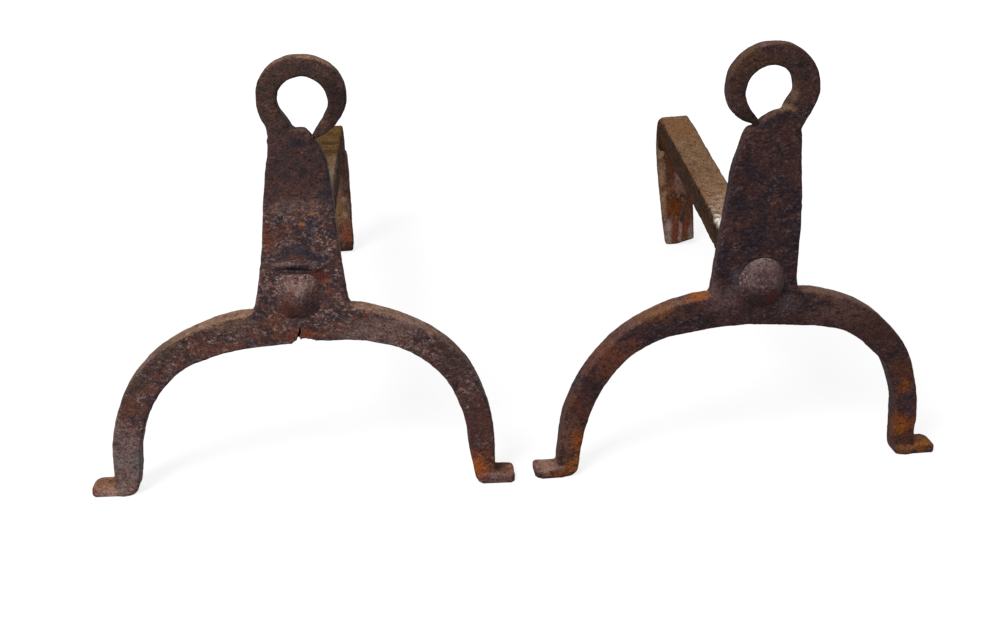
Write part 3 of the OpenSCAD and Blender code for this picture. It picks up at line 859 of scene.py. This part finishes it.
# A bar leaves its upright across from the middle of the front, swings aside and rolls, by angles in
# degrees. Its right side spreads on the way back, and its left edge is rounded by corner at the bend.
# The leg bows out on its two sides, leans forwards, and ends from foot[0] to foot[1]. Its sole is
# flat for sole_flat and then rises by the angle sole_rise, with edges rounded by sole_edge.
left_bar = SimpleNamespace(
    place=LEFT_PLACE, across=-1.0, swing=-0.75, roll=2.5, rivet_up=3.5, spread=0.6, corner=5.0,
    foot=(-12.5, 12.3), bow=(0.0, 2.0), lean=0.0, sole_flat=0.0, sole_rise=0.0, sole_edge=6.0,
)
right_bar = SimpleNamespace(
    place=RIGHT_PLACE, across=0.5, swing=7.5, roll=5.0, rivet_up=2.0, spread=5.2, corner=3.4,
    foot=(-14.2, 14.7), bow=(5.2, 0.0), lean=10.0, sole_flat=9.0, sole_rise=18.0, sole_edge=2.0,
)


def blunted(solid, a, b, radius):
    """Rounds the edge of a solid where two of its faces meet."""
    corner = radius + np.stack(np.broadcast_arrays(a, b))
    round_edge = np.hypot(*np.maximum(corner, 0)) - radius
    return np.maximum(solid, np.where((corner > 0).all(0), round_edge, solid))


def bar_shape(bar):
    """The bar with its rear leg, along its own length: x across, y along, z up."""
    turned, rolled = math.radians(-bar.swing), math.radians(-bar.roll)

    def shape(x, y, z):
        near = np.clip((y - DEPTH + SWELL_FROM) / (SWELL_FROM - SWELL_TO), 0, 1)
        near = near * near * (3 - 2 * near)
        down = np.clip((END_TOP - z) / END_TOP, 0, 1)
        below = np.clip((UNDER - z) / UNDER, 0, 1)
        # Seen from the side: a soft corner outside the bend, a fillet inside it, and a blunt toe
        top = AXIS + BAR / 2 - FALL / DEPTH * y + SWELL * near
        back = DEPTH - KEPT_IN - bar.lean * down
        outside = blunted(np.maximum(z - top, y - back), y - back, z - top, BEND_OUT)
        side = np.maximum(outside, welded(top - BAR - z, back - LEG - y, BEND_IN))
        side = blunted(side, -(y - back + LEG), -z, bar.sole_edge)
        # Seen from the front: the two sides of the bar, and lower down of the leg
        bent = np.clip(y / (DEPTH - LEG), 0, 1)
        right = BAR / 2 + bar.spread * bent**2 - bar.spread / 3 * near * (1 - below)
        right = right + (bar.foot[1] - BAR / 2 - bar.spread) * below
        right = right + bar.bow[1] * np.sin(np.pi * below**0.35)
        left = -BAR / 2 + (bar.foot[0] + BAR / 2) * below
        left = left - bar.bow[0] * near * np.sin(np.pi * down**0.55)
        wide = between(x, left, right)
        edge = BAR_EDGE + (bar.corner - BAR_EDGE) * near * (x < 0) * (1 - below)
        solid = blunted(edged(side, wide, edge), wide, -z, 0.7 * bar.sole_edge)
        # The sole stands on the hearth, which is level in the pair's frame and not in the bar's
        rise = (x - bar.foot[0] - bar.sole_flat) * math.tan(math.radians(bar.sole_rise))
        above = AXIS + (z - AXIS) * math.cos(rolled) - x * math.sin(rolled)
        solid = np.maximum(solid, np.maximum(rise, 0) - above)
        front = PLATE_T + SEAT_GAP - (x * math.sin(turned) + y * math.cos(turned))
        bore = np.maximum(np.hypot(x, z - (AXIS + bar.rivet_up)) - BORE_R, y - BAR_BORE_END)
        return np.maximum(np.maximum(solid, front), -bore)

    return shape


def swung(p, bar):
    """Rolls and swings a bar about the point where it leaves the upright."""
    r, s = math.radians(-bar.roll), math.radians(-bar.swing)
    x, y, z = p[:, 0], p[:, 1], p[:, 2] - AXIS
    x, z = x * math.cos(r) + z * math.sin(r), -x * math.sin(r) + z * math.cos(r)
    x, y = x * math.cos(s) - y * math.sin(s), x * math.sin(s) + y * math.cos(s)
    return np.stack([x + bar.across, y, z + AXIS], 1)


def forge_bar(side, bar, hammer_seed, rust_seed, bar_finish, leg_finish):
    """Skins a bar, beats it, and parts it into the log rest and the rear leg at the bend's mitre."""
    points, quads = skinned(bar_shape(bar), *BAR_ROOM, BAR_CELL)
    facing = outward(points, quads)
    depth = hammered(points, *BAR_HAMMER, hammer_seed) + pitted(points, BAR_RUST, rust_seed)
    at_upright = points[:, 1] < PLATE_T + BAR_KEPT
    at_sole = (facing[:, 2] < -0.8) & (points[:, 2] < SOLE_KEPT)
    points = points + facing * np.where(at_upright | at_sole, 0, depth)[:, None]
    middle = points[quads].mean(1)
    is_leg = middle[:, 2] < END_TOP - (DEPTH - middle[:, 1]) * (BAR / LEG)
    points = in_row(swung(points, bar), bar.place)
    facing = outward(points, quads)
    body = side + "_andiron"
    iron_piece(points, quads[~is_leg], facing, bar_finish, body, side + "_billet_bar")
    iron_piece(points, quads[is_leg], facing, leg_finish, body, side + "_rear_leg")


# Tan and olive dust on a dark log rest, and orange rust with grey on the rear legs
BAR_LOOK = dict(
    red=(80, 46, 26), blue=(36, 26, 21), pale=(112, 84, 60), pale_share=0.3,
    streak=(0.9, 0.4, 0.9), dust_from=0.55, dust_least=0.6, shine=0.01,
)
LEG_LOOK = dict(
    red=(116, 68, 40), blue=(58, 44, 42), pale=(150, 122, 108), pale_share=0.6, pits_seen=0.5,
    streak=(1.2, 1, 0.5), dust=(116, 86, 56), shine=0.02,
)
left_bar_finish = old_iron(
    "left_billet_iron", LEFT_PLACE, ((40, 28, 22), (66, 47, 39)), dust=(98, 72, 38), **BAR_LOOK,
    patches=[
        ((5, 250, 135), (18, 130, 12), (116, 97, 80), 0.9),
        ((0, 377, 131), (20, 10, 10), (60, 40, 18), 0.85),
        ((0, 411, 130), (20, 9, 10), (54, 38, 18), 0.85),
        ((-2, 447, 130), (12, 7, 10), (80, 58, 26), 0.8),
    ],
)
left_rear_finish = old_iron(
    "left_rear_leg_iron", LEFT_PLACE, ((84, 60, 52), (118, 90, 78)), **LEG_LOOK,
    patches=[
        ((4, 470, 90), (12, 30, 30), (126, 94, 82), 0.7),
        ((-4, 470, 44), (8, 30, 20), (124, 96, 66), 0.6),
        ((4, 470, 56), (3.4, 30, 3.6), (160, 128, 112), 0.6),
        ((4, 470, 41), (4, 30, 4.2), (160, 128, 98), 0.6),
        ((6, 470, 20), (10, 30, 12), (124, 64, 42), 0.8),
        ((-2, 470, 5), (30, 30, 9), (62, 40, 33), 0.85),
    ],
)
forge_bar("left", left_bar, hammer_seed=51, rust_seed=53,
          bar_finish=left_bar_finish, leg_finish=left_rear_finish)

right_bar_finish = old_iron(
    "right_billet_iron", RIGHT_PLACE, ((32, 19, 9), (54, 33, 16)), dust=(128, 98, 73), **BAR_LOOK,
    patches=[
        ((26, 100, 142), (26, 120, 10), (158, 132, 114), 0.75),
        ((20, 96, 142), (24, 50, 10), (178, 152, 138), 0.8),
        ((4, 112, 143), (9, 30, 7), (212, 204, 196), 0.95),
        ((54, 440, 131), (30, 70, 8), (116, 80, 50), 0.8),
        ((6, 170, 120), (12, 60, 8), (82, 52, 26), 0.6),
        ((-2, 60, 128), (12, 50, 16), (46, 30, 22), 0.8),
        ((44, 455, 118), (6, 50, 10), (62, 46, 30), 0.8),
    ],
)
right_rear_finish = old_iron(
    "right_rear_leg_iron", RIGHT_PLACE, ((54, 36, 29), (86, 58, 44)), **LEG_LOOK,
    patches=[
        # Pale grey along the left edge, dark orange rust beside it, and pinkish grey in the middle
        ((50.5, 462, 104), (5.5, 30, 22), (134, 108, 84), 0.85),
        ((52, 462, 72), (5.5, 30, 22), (136, 106, 82), 0.85),
        ((54.5, 462, 42), (4.5, 30, 22), (140, 108, 84), 0.85),
        ((60, 462, 13), (5.5, 30, 18), (144, 120, 108), 0.85),
        ((60, 462, 84), (6, 30, 26), (82, 46, 26), 0.8),
        ((64, 462, 40), (10, 30, 16), (94, 48, 16), 0.8),
        ((71, 462, 70), (7, 30, 22), (118, 90, 82), 0.75),
        ((81, 462, 50), (6, 30, 40), (84, 52, 36), 0.8),
        # Stripes of red and grey where the foot was hammered
        ((66.5, 462, 14), (4, 30, 16), (108, 52, 38), 0.85),
        ((72, 462, 12), (3, 30, 14), (142, 108, 98), 0.75),
        ((77, 462, 14), (3.4, 30, 16), (106, 54, 38), 0.85),
        ((83, 462, 12), (3.6, 30, 14), (124, 102, 96), 0.75),
    ],
)
forge_bar("right", right_bar, hammer_seed=71, rust_seed=73,
          bar_finish=right_bar_finish, leg_finish=right_rear_finish)


# ---------------------------------------------------------------------------
# A rivet holds each bar to its upright. Its shank goes through both, and its
# head was hammered over on the front face: a low, square-cornered point on the
# left andiron, and a tall oval dome on the right one.
RISE = round(1000 * (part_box("left_upright")[0][1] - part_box("left_rivet")[0][1]), 2)
GRIP = depth_of("left_rivet") - RISE - PLATE_T  # of the shank in the bar
SHANK = 5.5  # its radius
HEAD_BACK = 0.6  # how far the head goes into the upright
SHANK_TOP = 1  # how far the shank goes into the head
HEAD_KEPT = 0.2  # what the rust leaves alone in front of the upright
RIVET_CELL = 0.7
RIVET_RUST = [(0.22, 5), (0.14, 2.4)]
# The pointed head's facets: the way each looks, in degrees, and how far out it meets the upright
FACETS = [
    (0, 13.4), (45, 16.2), (90, 14.2), (135, 16.8), (180, 13.7), (222, 16.4), (270, 15), (315, 15.8),
]
POINT_R = 16.0  # the pointed head's greatest radius
RIDGE = 1.0
DOME_ACROSS = 15.4  # half of the dome's width
DOME_UP = 16.8  # half of its height
STRUCK = (0.31, -0.866, 0.39)  # the way that the dome's one flat faces: forwards, up and to the right
STRUCK_AT = 12.9
STRUCK_EDGE = 3.0
RIVET_ROOM = np.array([(-19, -10, -19), (19, 36, 20)])


def faceted(u, w, y):
    """A head struck to a blunt point, with softened ridges between its facets."""
    solid = None
    for angle, reach in FACETS:
        a, lean = math.radians(angle), math.atan2(RISE, reach)
        facet = (u * math.cos(a) + w * math.sin(a)) * math.sin(lean) - (y + RISE) * math.cos(lean)
        solid = facet if solid is None else -welded(-solid, -facet, RIDGE)
    return np.maximum(solid, np.hypot(u, w) - POINT_R)


def domed(u, w, y):
    """A round head, a little taller than wide, with one flat where the hammer missed its middle."""
    ball = (DOME_ACROSS**2 + RISE * RISE) / (2 * RISE)
    dome = np.sqrt(u * u + (w * DOME_ACROSS / DOME_UP) ** 2 + (y + RISE - ball) ** 2) - ball
    flat = u * STRUCK[0] + w * STRUCK[2] + y * STRUCK[1] - STRUCK_AT
    return -welded(-dome, -flat, STRUCK_EDGE)


def rivet(side, bar, head, shift, seed, finish):
    """A rivet on its bar's line, with its head a little off the shank."""
    across, high = bar.across, AXIS + bar.rivet_up

    def shape(x, y, z):
        u, w = x - across, z - high
        crown = np.maximum(head(u - shift[0], w - shift[1], y), y - HEAD_BACK)
        shank = np.maximum(np.hypot(u, w) - SHANK, np.maximum(-y - SHANK_TOP, y - PLATE_T - GRIP))
        return np.minimum(crown, shank)

    points, quads = skinned(shape, *(RIVET_ROOM + (across, 0, high)), RIVET_CELL)
    on_head = points[:, 1] < -HEAD_KEPT
    depth = np.where(on_head, pitted(points, RIVET_RUST, seed), 0)
    points = in_row(points + outward(points, quads) * depth[:, None], bar.place)
    iron_piece(points, quads, outward(points, quads), finish,
               side + "_andiron", side + "_rivet")


left_rivet_finish = old_iron(
    "left_rivet_iron", LEFT_PLACE, ((80, 56, 52), (108, 83, 78)), red=(90, 54, 44), blue=(74, 61, 64),
    pale=(156, 135, 130), dust=(120, 97, 92),
    patches=[
        # The lower facets are darkened with painted shade, red-brown on the left, a painted shadow lies
        # along the bottom, and the top facet is paler with painted highlight and pale scale
        ((-8, -4, 128), (13, 14, 11), (78, 46, 38), 0.95),
        ((9, -4, 129), (10, 14, 11), (54, 37, 42), 0.9),
        ((1, -2, 122), (16, 14, 5), (46, 31, 32), 0.85),
        ((2, -4, 146), (10, 14, 6), (134, 111, 106), 0.55),
    ],
)
rivet("left", left_bar, faceted, shift=(0.4, 1.6), seed=91, finish=left_rivet_finish)
right_rivet_finish = old_iron(
    "right_rivet_iron", RIGHT_PLACE, ((70, 52, 52), (96, 76, 74)), red=(84, 54, 50), blue=(62, 52, 56),
    pale=(140, 122, 120), dust=(118, 100, 97), streak=(1.1, 1, 0.9),
    patches=[
        # Painted shadow along the bottom of the dome
        ((0.5, -4, 122), (22, 14, 14), (52, 34, 35), 0.95),
        # Deep red rust at the lower right
        ((8, -4, 124), (6, 12, 6), (88, 34, 32), 0.75),
    ],
)
rivet("right", right_bar, domed, shift=(0.4, -0.8), seed=95, finish=right_rivet_finish)


# ---------------------------------------------------------------------------
# The pair stands on a plain white floor under one broad soft lamp from the
# upper left in front, a weaker one above and an even white sky. The floor is
# shown brighter than it is lit, so that only the soft shadow stays on it.
FLOOR_CORNERS = [(-6, -6, 0), (6, -6, 0), (6, 9, 0), (-6, 9, 0)]  # metres
FLOOR_GREY = 0.22
WHITE = (1, 1, 1, 1)
SKY = 0.4  # the sky's light on the pair

floor_mesh = bpy.data.meshes.new("floor")
floor_mesh.from_pydata(FLOOR_CORNERS, [], [(0, 1, 2, 3)])
floor = bpy.data.objects.new("floor", floor_mesh)
scene.collection.objects.link(floor)


def background_rays(tree):
    """1 where the camera, a mirror-like surface or a clear one looks at this."""
    path = new_node(tree, "LightPath")
    total = path.outputs["Is Camera Ray"]
    for ray in ("Is Glossy Ray", "Is Transmission Ray"):
        total = worked_out(tree, "MAXIMUM", total, path.outputs[ray])
    return total


# Near the pair the lamps make up the rest of the white, and further off the paper is white by itself
paper = bpy.data.materials.new("white_paper")
paper.use_nodes = True
tree = paper.node_tree
tree.nodes.clear()
middle = new_node(tree, "TexCoord").outputs["Object"]
distance = new_node(tree, "VectorMath", {0: middle}, operation="LENGTH").outputs["Value"]
whiteness = new_node(
    tree, "MapRange", {"Value": distance, "From Min": 0.35, "From Max": 1.3, "To Min": 0.8, "To Max": 1.0},
    interpolation_type="SMOOTHSTEP",
)
shown = worked_out(tree, "MULTIPLY", background_rays(tree), whiteness.outputs["Result"])
lit = new_node(tree, "BsdfDiffuse", {"Color": (FLOOR_GREY, FLOOR_GREY, FLOOR_GREY, 1)})
glow = new_node(tree, "Emission", {"Color": WHITE, "Strength": shown})
both = new_node(tree, "AddShader", {0: lit.outputs[0], 1: glow.outputs[0]})
new_node(tree, "OutputMaterial", {"Surface": both.outputs[0]})
floor_mesh.materials.append(paper)

world = bpy.data.worlds.new("even_sky")
scene.world = world
world.use_nodes = True
tree = world.node_tree
tree.nodes.clear()
brightness = spread(tree, background_rays(tree), 0.0, 1.0, SKY, 1.0)
air = new_node(tree, "Background", {"Color": WHITE, "Strength": brightness})
new_node(tree, "OutputWorld", {"Surface": air.outputs[0]})


def soft_lamp(name, size, power, at, towards):
    """A square lamp that looks at a place, in metres and watts."""
    lamp = bpy.data.lights.new(name, "AREA")
    lamp.size = size
    lamp.energy = power
    holder = bpy.data.objects.new(name, lamp)
    holder.location = at
    holder.rotation_euler = (Vector(towards) - Vector(at)).to_track_quat("-Z", "Y").to_euler()
    scene.collection.objects.link(holder)


soft_lamp("key_lamp", size=0.9, power=52.0, at=(-1.0, -1.5, 1.7), towards=(0, 0, 0.12))
soft_lamp("top_lamp", size=1.2, power=8.0, at=(0.0, 0.3, 1.8), towards=(0, 0, 0))
